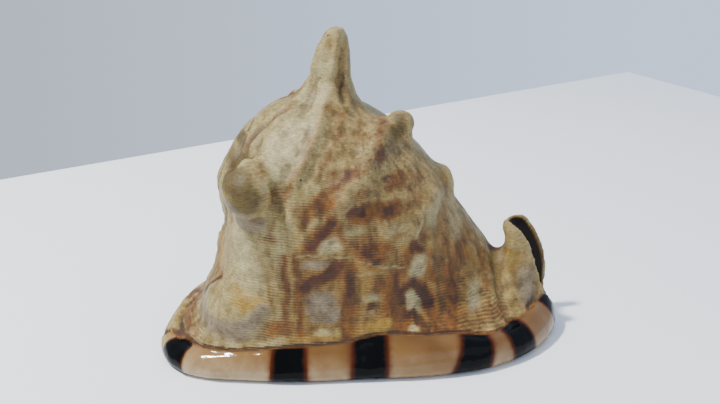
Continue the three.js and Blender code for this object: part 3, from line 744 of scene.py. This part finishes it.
# Spots of colour on the front: where each is across and up, its half width and height, its strength.
PATCHES = {
    "brown": [
        (0, 57, 13, 7, 0.6), (-3, 69, 5, 4, 0.9), (9.5, 68.5, 5.5, 4.5, 0.9), (3.5, 70, 9, 3.6, 0.75),
        (20, 70, 6, 3, 0.5), (4, 51, 7, 6, 0.8), (-22, 72, 9, 5, 0.6), (-12, 75, 8, 4, 0.65), (24, 58, 5, 5, 0.7),
        (33, 58, 5, 8, 0.55), (36, 44, 6, 7, 0.6), (43, 44, 4, 9, 0.6), (33, 28, 5, 12, 0.6), (-36, 78, 7, 3.5, 0.55),
        (-41, 87, 6, 4, 0.5), (13.4, 79, 5, 4, 0.75), (22, 77, 5, 4, 0.55), (6, 91, 3.5, 5, 0.85),
        (-12, 84, 5, 3, 0.5), (0, 77, 5, 3, 0.55), (-38, 60, 5, 3, 0.6), (-38, 36, 2.5, 9, 0.5),
        (-35, 22, 8, 4, 0.75), (-47, 18, 9, 3, 0.5), (54, 30, 4, 10, 0.5), (52, 19, 6, 3, 0.5), (60, 18, 4, 3, 0.5),
        (-78, 20, 4, 9, 0.7), (-71, 15, 6, 4, 0.4), (-64, 40, 3, 10, 0.5), (8, 38, 5, 6, 0.7), (42, 21, 5, 5, 0.6),
        (-2, 97, 3, 3, 0.5), (36, 71, 3, 4, 0.55), (3, 29, 7, 9, 0.45), (71, 32, 6, 12, 0.35), (52, 40, 4, 10, 0.4),
        (49, 52, 3, 6, 0.4), (-34, 47, 3, 7, 0.45), (27, 66, 4, 4, 0.5), (15, 60, 4, 3, 0.5),
    ],
    "stain": [
        (1.1, 53.5, 2.6, 3.4, 0.75), (5.2, 49, 2.4, 2.6, 0.6), (3, 29.6, 2, 1.6, 0.8), (-2.9, 70.3, 3, 2.6, 0.9),
        (9.9, 69.2, 3.2, 2.6, 0.85), (6.5, 89, 1.8, 2.6, 0.5), (-6, 84.5, 2.6, 1.6, 0.7), (8.8, 81.6, 2.4, 1.4, 0.6),
        (14, 78, 2.4, 1.6, 0.5), (-38, 60, 3.4, 1.4, 0.5), (-11, 113, 1.1, 4, 0.4), (46, 33, 4, 2, 0.35),
        (0.2, 74.8, 2, 1.4, 0.5), (15, 101.4, 3, 1.6, 0.6), (24, 40, 2, 2, 0.4),
    ],
    # Pale on the horn's left face is partly the shell's cream and partly a painted highlight of its lit side.
    "pale": [
        (-14, 57.5, 5.4, 4, 0.75), (-50, 52, 6, 15, 0.95), (-33, 90.5, 6, 8, 0.9), (-24, 105, 6, 7, 0.8),
        (-28, 97, 6, 6, 0.7), (-38, 95, 6, 5, 0.6), (-45, 42, 5, 8, 0.85), (20.8, 29.6, 4, 5, 0.95),
        (22.6, 44, 4.4, 6.5, 0.8), (48, 26, 4.4, 6, 0.65), (3, 33, 5, 3, 0.6), (40, 53, 5, 6, 0.5),
        (-16, 20, 6, 2.4, 0.7), (21, 19.5, 2.4, 1.8, 0.8), (28, 63, 3, 6, 0.6), (14, 61.5, 7, 2.4, 0.5),
        (-17, 119, 5, 11, 0.95), (-66, 24, 6, 6, 0.4), (14, 89, 5, 3, 0.4), (32, 66, 3, 4, 0.5), (-4, 63, 5, 2, 0.5),
        (2, 44, 9, 1.2, 0.5),
    ],
    # Lilac spots under the big left knob and the left swelling are painted shade; the rest is the shell's own.
    "lilac": [
        (-19, 50, 8, 2.6, 0.9), (-17.5, 33, 7.6, 6, 1), (-16.5, 27, 7.4, 4, 0.95), (22.5, 42, 3.6, 5, 0.6),
        (-13, 56, 4, 2, 0.5), (47, 23, 4, 5, 0.6), (-50, 71, 8, 5, 0.95), (-54, 75, 4, 4, 0.8), (-46, 65, 6, 4, 0.8),
        (3, 28, 4, 3, 0.6), (74, 24, 6, 10, 0.8), (-58, 20, 12, 5, 1), (-50, 18.5, 6, 3, 0.6), (-41, 65, 4, 6, 0.5),
    ],
    "gold": [
        (-49, 34, 6, 4.5, 0.9), (6, 21.5, 5.4, 3.6, 1), (-16, 19.5, 6.4, 2.2, 0.85), (21, 19.2, 2.4, 1.6, 0.8),
        (66, 34, 6, 8, 0.4), (-56, 56, 2.5, 8, 0.4), (25, 84, 8, 7, 0.3), (-62, 42, 3, 9, 0.5), (-84, 10, 4, 3, 0.5),
        (39, 73, 4, 3, 0.7), (-27, 62, 3, 10, 0.35), (-43, 33, 4, 4, 0.5),
    ],
    "olive": [
        (-52.5, 93, 2.8, 3.6, 1), (-50, 84, 9, 5, 1), (-44, 79, 6, 4, 0.8), (15, 98.5, 4, 5, 0.7),
        (11, 93, 3, 5, 0.5), (-15, 105, 2, 8, 0.3), (-57, 66, 4, 5, 0.3), (-47, 76, 7, 4, 0.7),
    ],
}
# Strokes of colour on the front, each along a line of (x, z) points: the arrow heads, the broad
# bands that run down the wall, the pale break across it and the stripes under the knobs.
STROKES = [
    ("brown", 4.2, 0.95, [(-22.2, 55.9), (-17.4, 61.8), (-13.8, 66.6)]),
    ("stain", 2.4, 0.85, [(-21.6, 56.8), (-17.4, 61.8), (-13.8, 66.2)]),
    ("brown", 3, 0.75, [(-13.8, 66.6), (-10.9, 64.7), (-8.6, 59)]),
    ("brown", 3.8, 1, [(-26.5, 37.5), (-23.4, 41.4), (-16.2, 44.6), (-9.6, 48)]),
    ("stain", 3, 0.9, [(-24.5, 39.5), (-21, 43), (-15, 44.4), (-10.4, 48.4)]),
    ("brown", 3.6, 1, [(-6.6, 46), (-6.5, 33), (-6.6, 18)]), ("stain", 2.4, 0.7, [(-6.8, 45), (-6.4, 34)]),
    ("brown", 1.7, 0.8, [(-31.8, 53.4), (-31.7, 34.2), (-31.8, 19)]),
    ("brown", 1.8, 0.85, [(-27, 53.4), (-27.4, 34.2), (-26, 19)]),
    ("brown", 2.6, 0.9, [(16.6, 42.6), (17.9, 50.6), (21.2, 54.6), (24, 50.3), (29, 36.5)]),
    ("stain", 2, 0.8, [(20, 53), (21.2, 54.6), (23.4, 51.6)]),
    ("brown", 3.4, 1, [(14.2, 19), (16.2, 30.6), (17.5, 35.4), (20.7, 38.4), (26.9, 28.1), (30.6, 18)]),
    ("stain", 2.2, 0.8, [(15.8, 30), (17.2, 35), (20.7, 38.2), (27, 27)]),
    ("brown", 2.6, 1, [(16.2, 18), (17.5, 22.5), (20.3, 25.4), (23.5, 21.3), (25.8, 17)]),
    ("stain", 1.8, 0.75, [(18.4, 23.4), (20.3, 25.2), (23, 21.8)]),
    ("brown", 4.8, 1, [(36.8, 40), (37, 26), (36.6, 14)]), ("brown", 4.6, 1, [(11.5, 41), (12, 30), (11, 19)]),
    ("pale", 0.8, 0.55, [(-27, 53.6), (-18.6, 53.6), (-10.2, 52), (1.5, 48.2), (16.7, 44.4)]),
    ("brown", 2.6, 0.6, [(-12.3, 117.4), (-14.8, 109.9), (-17.1, 105.4), (-20.9, 98.3), (-24.6, 90.1), (-28.2, 83.6),
        (-31, 76)]),
    ("brown", 3, 0.75, [(8, 98), (5.8, 93), (3.3, 88.9), (-1.9, 85.8), (-6, 84.1), (-11.5, 81), (-16.1, 78.7),
        (-21, 72.9), (-25, 66)]),
    ("stain", 1.4, 0.5, [(-3, 85.5), (-9, 82.5), (-15, 79)]),
    ("brown", 1.3, 0.4, [(-9.6, 128), (-9.6, 120), (-9.4, 110)]), ("stain", 0.9, 0.7, [(-9.6, 119), (-9.2, 111)]),
    ("brown", 2, 0.55, [(-8, 104), (-14, 92), (-19, 83)]), ("brown", 1.6, 0.6, [(30, 66), (34, 52), (40, 40)]),
    ("brown", 1.8, 0.6, [(24, 52), (30, 44), (34, 36)]),
    ("brown", 1.4, 0.5, [(-36, 70), (-38, 58), (-37, 46), (-38, 34)]),
    ("pale", 1.2, 0.6, [(25, 68), (23, 60), (21, 55)]),
]

masks = {}
on_front = np.stack([wx, wz], axis=1)
for name, patches in PATCHES.items():
    amount = np.zeros(len(points))
    for px, pz, sx, sz, strength in patches:
        spot = np.exp(-(np.abs((wx - px) / sx) ** 3) - np.abs((wz - pz) / sz) ** 3)
        amount = 1 - (1 - amount) * (1 - strength * spot * front)
    masks[name] = amount
lower_field = smoothstep(wx, -38, -26) * (1 - smoothstep(wz, 46, 72)) * (1 - 0.35 * smoothstep(wx, 42, 56))
upper_field = smoothstep(wx, -30, -10) * smoothstep(60, 96, 100 - 0.2 * wz)
masks["amber"] = np.maximum(0.85 * lower_field, 0.5 * upper_field) * front
masks["brown"] *= 1 - 0.8 * np.maximum(masks["lilac"], 0.8 * masks["pale"])


def lay(name, amount):
    """Lays more of one colour on, where there is less of it than the amount."""
    masks[name] = np.maximum(masks[name], amount)


for name, reach, strength, line in STROKES:
    lay(name, strength * nearness(on_front, line, reach) * front)
masks["lilac"] *= 1 - 0.8 * np.maximum(masks["stain"], masks["brown"] * (masks["brown"] > 0.6))

# The back and the top carry the same rows of arrows, worked out by the rule alone.
ARROW_WIDTH, ARROW_HEIGHT = 19, 13
back = (1 - front) * smoothstep(above_band, 1, 5)
round_whorl = np.radians(turn) * 46 + 4 * wobble_a
along_axis = -h + 3 * wobble_b + 3 * lumps
row = (round_whorl / ARROW_WIDTH + 0.5 * (np.floor(along_axis / ARROW_HEIGHT) % 2)) % 1
step = (along_axis / ARROW_HEIGHT) % 1
wedge = 1 - smoothstep(np.abs(step - 0.25 - 1.1 * np.abs(row - 0.5)), 0.12, 0.3)
drift = smoothstep(grain(points, 24, 8) + 0.5 * wobble_a, -0.35, 0.3)
lay("brown", back * np.clip(0.75 * wedge * drift + 0.35 * drift, 0, 1))
lay("stain", back * 0.4 * wedge * smoothstep(wobble_a, 0.1, 0.5))
lay("pale", back * 0.6 * (1 - drift))
lay("gold", back * 0.3 * smoothstep(lumps, 0, 0.5))

# Dark lines in the seams and creases, and a lilac edge of painted shade under the left swelling.
SWELLING_FOOT = [
    (-68.5, -39.6, 23.4), (-64, -49, 19), (-57.3, -55.6, 20), (-46.6, -57.6, 24), (-41.6, -56.8, 29.6),
]
lay("brown", 0.75 * seam * (0.6 + lumps))
for name, strength, line, reach in (
    ("lilac", 1, SWELLING_FOOT, 4.4), ("brown", 0.75, np.array(FLANGE_LINE) + (2, 3, 2), 3.4),
    ("stain", 1.2, FLANGE_LINE, 1.1), ("stain", 0.8, WHORL_SUTURE, 1.0), ("brown", 0.8, WHORL_SUTURE, 2.6),
    ("stain", 0.95, CANAL_CREASE, 1.5), ("brown", 0.9, CANAL_CREASE, 2.6),
):
    lay(name, strength * nearness(points, line, reach))
flange_edge = smoothstep(place, 18.6, 19.6) * np.exp(-((above_band - 1) / 1.6) ** 2) * (inset < 14)
lay("stain", 0.9 * flange_edge)
lay("brown", 0.85 * np.exp(-((above_band - 0.3) / 0.8) ** 2) * (inset < 18) * (z > 4))
lip_line = np.exp(-((above_band - 1.1) / 0.7) ** 2) * (inset < 18) * (z > 4) * front
lay("stain", 0.95 * lip_line * (1 - smoothstep(place, 6, 8) * (1 - smoothstep(place, 19, 20))))

# The glaze on the lip and shield, its dark bars and the inside, painted near black as shade
LIP_FROM = 8
# Each bar: its left side at the top and foot and its right side, in stations, and its strength.
BARS = [
    (0.45, 0.3, 1.46, 1.6, 1), (3.5, 3.48, 4.09, 4.1, 1), (4.79, 4.76, 5.36, 5.34, 1), (6.56, 6.32, 7.1, 6.98, 1),
    (7.42, 7.52, 8.02, 8.12, 1), (9.25, 9.35, 10.15, 10.3, 1),
]
height_share = np.clip(z / np.maximum(through(BAND_TOP, place), 1), 0, 1)
bars = np.zeros(len(points))
for left_top, left_foot, right_top, right_foot, strength in BARS:
    left = lerp(left_foot, left_top, height_share)
    right = lerp(right_foot, right_top, height_share)
    soft = 0.12 + 0.06 * wobble_b
    bar = smoothstep(place - left, -soft, soft) * smoothstep(right - place, -soft, soft)
    bars = np.maximum(bars, strength * bar)
under = np.maximum(1 - smoothstep(z, 1.2, 3.2), smoothstep(-normals[:, 2], 0.1, 0.5) * (z < 14))
on_band = (inset < 16) * (1 - smoothstep(above_band, -0.4, 0.8))
masks["bar"] = bars * on_band * (1 - smoothstep(inset, 9, 14) * under)
flange = smoothstep(place, 19.2, 20) * (1 - smoothstep(place, 21.9, 22)) + (1 - smoothstep(place, 0.1, 0.5))
lip_glaze = (1 - smoothstep(above_band, -0.4, 0.6)) * (1 - np.clip(flange, 0, 1))
masks["glaze"] = np.maximum(lip_glaze, under) * outside
# Deep inside the aperture and in the canal's trough the colour is painted shade, near black.
in_canal = smoothstep(x, 54, 60) * smoothstep(z, 4, 9)
masks["inner"] = np.maximum(smoothstep(deep, 4, 12), in_canal * smoothstep(deep, SKIN_DEPTH, 2.2))
lay("glaze", masks["inner"])
canal_lip = sum(nearness(points, edge[LIP_FROM:], 1.5) for edge in (near_edge, far_edge))
lay("pale", 0.5 * np.clip(canal_lip, 0, 1))
masks["granular"] = np.exp(-(((x - 8) / 26) ** 2 + ((z - 88) / 18) ** 2)) * front
masks["tan"] = smoothstep(place, 2, 5) * (1 - smoothstep(place, 9, 11)) * (0.75 + 0.5 * lumps)
masks["tan"] *= 1 - smoothstep(inset, 12, 26)
# The growth threads run up the wall at the left and round it at the right, 1.1 mm apart.
round_wall = np.radians(90 - turn) * 48 + 70
masks["growth"] = lerp(round_wall, z + 0.06 * x, smoothstep(turn, 25, 75)) + 0.5 * lumps
masks["growth"] *= 2 * np.pi / THREAD_SPACING
masks["threads"] = lerp(0.25, 1, smoothstep(-z, -106, -50)) * (1 - 0.75 * smoothstep(x, 58, 68))
masks["threads"] *= 1 - 0.4 * smoothstep(-x, 40, 60)

# The hollows are darkened with painted shade and the ridges are rubbed bare. How a point
# stands off the mean of its neighbours tells which it is.
mean = neighbour_mean(shell.data)


def spread(values, rounds):
    for _ in range(rounds):
        values = mean(values)
    return values


around_each = np.stack([spread(points[:, k], 1) for k in range(3)], axis=1)
bend = spread(np.einsum("ij,ij->i", around_each - points, normals), 4)
masks["inner"] = spread(masks["inner"], 2)
# Painted shade: this mask darkens the hollows of the surface.
masks["hollow"] = smoothstep(bend, 0.004, 0.035)
rubbed = smoothstep(-bend, 0.012, 0.05) * (1 - np.maximum(masks["olive"], masks["stain"]))
masks["ridge"] = rubbed * (1 - 0.6 * masks["lilac"])

for name, values in masks.items():
    shell.data.attributes.new(name, "FLOAT", "POINT").data.foreach_set("value", values.astype(np.float32))

# The shell's surface in the eye
# Worn shell is aragonite laid down in layers and rubbed by sand, so it looks chalky and dull, with
# fine growth threads across the brown. Where the mantle glazed it, on lip and shield, it is glassy.


def hue(code):
    """A colour seen on screen, as the linear values that the shader needs."""
    parts = [int(code[i:i + 2], 16) / 255 for i in (1, 3, 5)]
    return (*(c / 12.92 if c <= 0.04045 else ((c + 0.055) / 1.055) ** 2.4 for c in parts), 1)


shell_material.use_nodes = True
tree = shell_material.node_tree
tree.nodes.clear()
here = add_node(tree, "where", "ShaderNodeTexCoord", output="Object")
height = add_node(tree, "height", "ShaderNodeSeparateXYZ", {0: here}, output=2)
mask = {name: add_node(tree, name, "ShaderNodeAttribute", output="Fac", attribute_name=name) for name in masks}

# Random spots of four sizes in millimetres, and streaks that run down the wall.
NOISES = ("clouds", 22, 3, 0.55), ("mottle", 6, 4, 0.6), ("speckle", 1.6, 5, 0.65), ("dust", 0.6, 3, 0.7)
clouds, mottle, speckle, dust = (
    add_node(
        tree, name, "ShaderNodeTexNoise",
        {"Vector": here, "Scale": 1 / (size * MM), "Detail": detail, "Roughness": rough},
    )
    for name, size, detail, rough in NOISES
)
drawn = add_node(tree, "drawn down", "ShaderNodeVectorMath", [here, (1.9, 1.9, 0.55)], operation="MULTIPLY")
streaks = add_node(tree, "streaks", "ShaderNodeTexNoise", {"Vector": drawn, "Scale": 1 / (7 * MM), "Detail": 3})

# Growth threads: fine lines about a millimetre apart, stronger low on the wall and broken up.
wander = add_node(tree, "wander", "ShaderNodeMath", [mottle, 3.0, mask["growth"]], operation="MULTIPLY_ADD")
wave = add_node(tree, "wave", "ShaderNodeMath", [wander], operation="SINE")
worn = add_node(tree, "thread wear", "ShaderNodeMapRange", [speckle, 0.35, 0.6, 0.35])
kept = add_node(tree, "threads kept", "ShaderNodeMath", [mask["threads"], worn], operation="MULTIPLY")
threads = add_node(tree, "threads", "ShaderNodeMath", [wave, kept], operation="MULTIPLY")
between = add_node(tree, "between threads", "ShaderNodeMapRange", [threads, -1])
rag_a = add_node(tree, "rag lines", "ShaderNodeMath", [between, 0.35], operation="MULTIPLY")
rag_b = add_node(tree, "rag specks", "ShaderNodeMath", [speckle, 0.35, rag_a], operation="MULTIPLY_ADD")
ragged = add_node(tree, "ragged", "ShaderNodeMath", [mottle, 0.6, rag_b], operation="MULTIPLY_ADD")

COLOURS = {"output": 2, "data_type": "RGBA"}
ground_kind = add_node(tree, "ground kind", "ShaderNodeMapRange", [streaks, 0.35, 0.7])
coat = add_node(tree, "ground", "ShaderNodeMix", {0: ground_kind, 6: hue("#9c8e5e"), 7: hue("#715d2a")}, **COLOURS)
# What lies on the ground tan, from the bottom up: the noise that makes its edge ragged and how much,
# where it starts and is full, how much it hides, its two colours and what picks between them.
LAYERS = [
    ("amber", ragged, 0.9, 0.1, 0.9, 0.9, "#8b6620", "#5a3f0f", streaks),
    ("brown", ragged, 0.8, 0.14, 0.8, 1.0, "#77490a", "#472604", streaks),
    ("gold", ragged, 0.7, 0.1, 0.8, 0.8, "#a1802c", "#86691e", mottle),
    # Pale is partly a painted highlight, on the lit left face of the horn.
    ("pale", ragged, 0.7, 0.2, 0.8, 0.9, "#aea477", "#8f8256", mottle),
    # Lilac is partly painted shade, under the big left knob and the left swelling.
    ("lilac", ragged, 0.7, 0.3, 0.85, 0.9, "#867863", "#675941", mottle),
    ("olive", ragged, 0.5, 0.15, 0.8, 0.9, "#55440f", "#3c2c0b", mottle),
    ("stain", ragged, 1.0, 0.2, 0.75, 0.95, "#4c2306", "#2c1404", mottle),
    # Hollow is painted shade: dark brown in the hollows and creases.
    ("hollow", ragged, 0.3, 0.1, 0.9, 0.5, "#4f3814", "#3c2a10", mottle),
    ("ridge", ragged, 0.3, 0.1, 0.9, 0.3, "#b0a170", "#9c8c5a", mottle),
    ("granular", speckle, 4.0, 0.4, 0.85, 0.65, "#553b18", "#3f2a0e", mottle),
]
for name, noise_kind, rag, low, full, strength, one, other, picks in LAYERS:
    edge = add_node(tree, name + " edge", "ShaderNodeMath", [noise_kind, rag, mask[name]], operation="MULTIPLY_ADD")
    share = add_node(
        tree, name + " share", "ShaderNodeMapRange",
        [edge, low + 0.65 * rag, full + 0.65 * rag, 0, strength], interpolation_type="SMOOTHSTEP",
    )
    kind = add_node(tree, name + " kind", "ShaderNodeMapRange", [picks, 0.36, 0.66])
    paint = add_node(tree, name + " paint", "ShaderNodeMix", {0: kind, 6: hue(one), 7: hue(other)}, **COLOURS)
    coat = add_node(tree, name + " on coat", "ShaderNodeMix", {0: share, 6: coat, 7: paint}, **COLOURS)

# Over them: the threads' own shade, grains drawn out along the threads, specks of dirt, and small
# pits in some places. The grains are about 1.3 mm, which is coarser than the real ones, to show.
shade = add_node(tree, "thread shade", "ShaderNodeMapRange", [threads, -1, 1, 0, 0.45])
threaded = {0: shade, 6: coat, 7: hue("#b8a27e")}
coat = add_node(tree, "threads on coat", "ShaderNodeMix", threaded, blend_type="MULTIPLY", **COLOURS)
fibres = add_node(tree, "along threads", "ShaderNodeVectorMath", [here, (0.7, 0.7, 2)], operation="MULTIPLY")
grain_size = {"Vector": fibres, "Scale": 1 / (1.3 * MM), "Detail": 4, "Roughness": 0.7}
grains = add_node(tree, "grains", "ShaderNodeTexNoise", grain_size)
grains = add_node(tree, "grain contrast", "ShaderNodeMapRange", [grains, 0.28, 0.72, 0.1, 0.9])
grained = {0: 0.55, 6: coat, 7: grains}
coat = add_node(tree, "grains on coat", "ShaderNodeMix", grained, blend_type="OVERLAY", **COLOURS)
specks = add_node(tree, "specks", "ShaderNodeMapRange", [dust, 0.56, 0.72, 0, 0.35])
pits = add_node(tree, "pits", "ShaderNodeTexVoronoi", {"Vector": here, "Scale": 1 / (11 * MM)}, output="Distance")
pit = add_node(tree, "pit", "ShaderNodeMapRange", [pits, 0.06, 0.035])
pit_field = add_node(tree, "pit field", "ShaderNodeMapRange", [clouds, 0.42, 0.5])
pitted = add_node(tree, "pitted", "ShaderNodeMath", [pit, pit_field], operation="MULTIPLY")
for name, share, code in ("specks", specks, "#3f2c17"), ("pits", pitted, "#2b1c12"):
    coat = add_node(tree, name + " on coat", "ShaderNodeMix", {0: share, 6: coat, 7: hue(code)}, **COLOURS)

# The glaze: cream below and tan above, tanner to the right, clouded, with the near-black bars.
up_lip = add_node(tree, "up the lip", "ShaderNodeMapRange", [height, 0.002, 0.0125])
glaze, tan = (
    add_node(tree, name, "ShaderNodeMix", {0: up_lip, 6: hue(foot), 7: hue(top)}, **COLOURS)
    for name, foot, top in (("glaze", "#a89371", "#7a5829"), ("tan", "#80623a", "#58390e"))
)
glaze = add_node(tree, "tan on glaze", "ShaderNodeMix", {0: mask["tan"], 6: glaze, 7: tan}, **COLOURS)
bloom = add_node(tree, "bloom", "ShaderNodeMapRange", [mottle, 0.42, 0.75, 0, 0.5])
bar_edge = add_node(tree, "bar edge", "ShaderNodeMapRange", [mask["bar"], 0.02, 0.5])
bar_core = add_node(tree, "bar core", "ShaderNodeMapRange", [mask["bar"], 0.42, 0.92])
overglaze = ("bloom", bloom, "#64401a"), ("bar edge", bar_edge, "#4a2008"), ("bar core", bar_core, "#020202")
for name, share, code in overglaze:
    glaze = add_node(tree, name + " on glaze", "ShaderNodeMix", {0: share, 6: glaze, 7: hue(code)}, **COLOURS)
glazed = add_node(tree, "glazed", "ShaderNodeMapRange", [mask["glaze"], 0.3, 0.7])
coat = add_node(tree, "glaze on coat", "ShaderNodeMix", {0: glazed, 6: coat, 7: glaze}, **COLOURS)
# Painted shade: the inside of the aperture and the canal is made near black.
dark = add_node(tree, "painted shade inside", "ShaderNodeMapRange", [mask["inner"], 0.2, 0.75])
coat = add_node(tree, "painted shade inside on coat", "ShaderNodeMix", {0: dark, 6: coat, 7: hue("#140a06")}, **COLOURS)

# The relief too fine for the mesh: threads, grains and the slow ripples of the glaze.
dull = add_node(tree, "dull part", "ShaderNodeMapRange", [mask["glaze"], 0.7, 0.2])
thread_relief = add_node(tree, "thread relief", "ShaderNodeMath", [threads, 0.04], operation="MULTIPLY")
grainy = add_node(tree, "grainy", "ShaderNodeMath", [mask["granular"], 0.5, 0.16], operation="MULTIPLY_ADD")
coarse = add_node(tree, "coarse", "ShaderNodeMath", [speckle, grainy, thread_relief], operation="MULTIPLY_ADD")
dull_relief = add_node(tree, "dull relief", "ShaderNodeMath", [coarse, dull], operation="MULTIPLY")
ripples = add_node(tree, "ripples", "ShaderNodeTexNoise", {"Vector": here, "Scale": 1 / (4 * MM)})
wavy = add_node(tree, "wavy glaze", "ShaderNodeMath", [mask["glaze"], 0.18], operation="MULTIPLY")
relief = add_node(tree, "relief", "ShaderNodeMath", [ripples, wavy, dull_relief], operation="MULTIPLY_ADD")
bump = add_node(tree, "bump", "ShaderNodeBump", {"Strength": 0.8, "Distance": 1.0 * MM, "Height": relief})
rough = add_node(tree, "rough", "ShaderNodeMapRange", [mask["glaze"], 0.3, 0.7, 0.6, 0.1])
dark_parts = add_node(tree, "dark parts", "ShaderNodeMath", [mask["bar"], mask["inner"]], operation="MAXIMUM")
gleam = add_node(tree, "gleam", "ShaderNodeMapRange", [dark_parts, 0.1, 0.6, 0.36, 0.1])
finish = {"Base Color": coat, "Roughness": rough, "Specular IOR Level": gleam, "Normal": bump}
skin = add_node(tree, "skin", "ShaderNodeBsdfPrincipled", finish)
add_node(tree, "surface", "ShaderNodeOutputMaterial", {"Surface": skin})

shell.data.materials.clear()
shell.data.materials.append(shell_material)
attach(shell, "root")
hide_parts("helmet_shell")

# The table and the light
# A plain pale table in a light room, lit by a small bright lamp from the left and above and a weak
# broad one from the right. The table's far edge runs where the photo's wall meets the table, and
# beyond it the room shows. Its material is painted board, rolled matt, so nothing mirrors in it.
mesh = bpy.data.meshes.new("table")
mesh.from_pydata([(-3, -1.681, 0), (0.2946, 0.5748, 0), (1.9, -2.992, 0), (-3, -4, 0)], [], [(0, 1, 2, 3)])
board = bpy.data.materials.new("painted_board")
board.use_nodes = True
paint = board.node_tree.nodes["Principled BSDF"].inputs
paint["Base Color"].default_value = hue("#f1f1f1")
paint["Roughness"].default_value = 0.7
mesh.materials.append(board)
obj = bpy.data.objects.new("table", mesh)
bpy.context.collection.objects.link(obj)

# The room's light, a little brighter and bluer towards the right.
ROOM_LEFT, ROOM_RIGHT = (0.76, 0.86, 1.0, 1), (1.05, 1.25, 1.65, 1)
world = bpy.data.worlds.new("room")
bpy.context.scene.world = world
world.use_nodes = True
room, backdrop = world.node_tree, world.node_tree.nodes["Background"].inputs
sky = add_node(room, "view", "ShaderNodeTexCoord", output="Generated")
across = add_node(room, "across", "ShaderNodeSeparateXYZ", [sky])
share = add_node(room, "share", "ShaderNodeMapRange", [across, -0.35, 0.3])
paint = add_node(room, "room paint", "ShaderNodeMix", {0: share, 6: ROOM_LEFT, 7: ROOM_RIGHT}, **COLOURS)
room.links.new(paint, backdrop["Color"])
backdrop["Strength"].default_value = 0.8


def lamp(name, at, towards, size, power):
    light = bpy.data.lights.new(name, "AREA")
    light.shape, light.size, light.size_y, light.energy = "RECTANGLE", *size, power
    obj = bpy.data.objects.new(name, light)
    obj.location = at
    obj.rotation_euler = (Vector(towards) - Vector(at)).to_track_quat("-Z", "Y").to_euler()
    bpy.context.collection.objects.link(obj)


MIDDLE = (0, 0, 0.05)
lamp("key", (-0.55, -0.15, 1.05), MIDDLE, (0.1, 0.1), 24)
lamp("fill", (0.6, -0.9, 0.6), MIDDLE, (0.8, 0.6), 1)

# The camera stands where the photo was taken from, a little over the shell, and looks down at it.
lens = bpy.data.cameras.new("camera")
lens.lens = 43.3
lens.sensor_width = 36
camera = bpy.data.objects.new("camera", lens)
camera.location = (-0.00175, -0.37415, 0.1924)
camera.rotation_euler = (radians(70), 0, 0)
bpy.context.collection.objects.link(camera)
bpy.context.scene.camera = camera
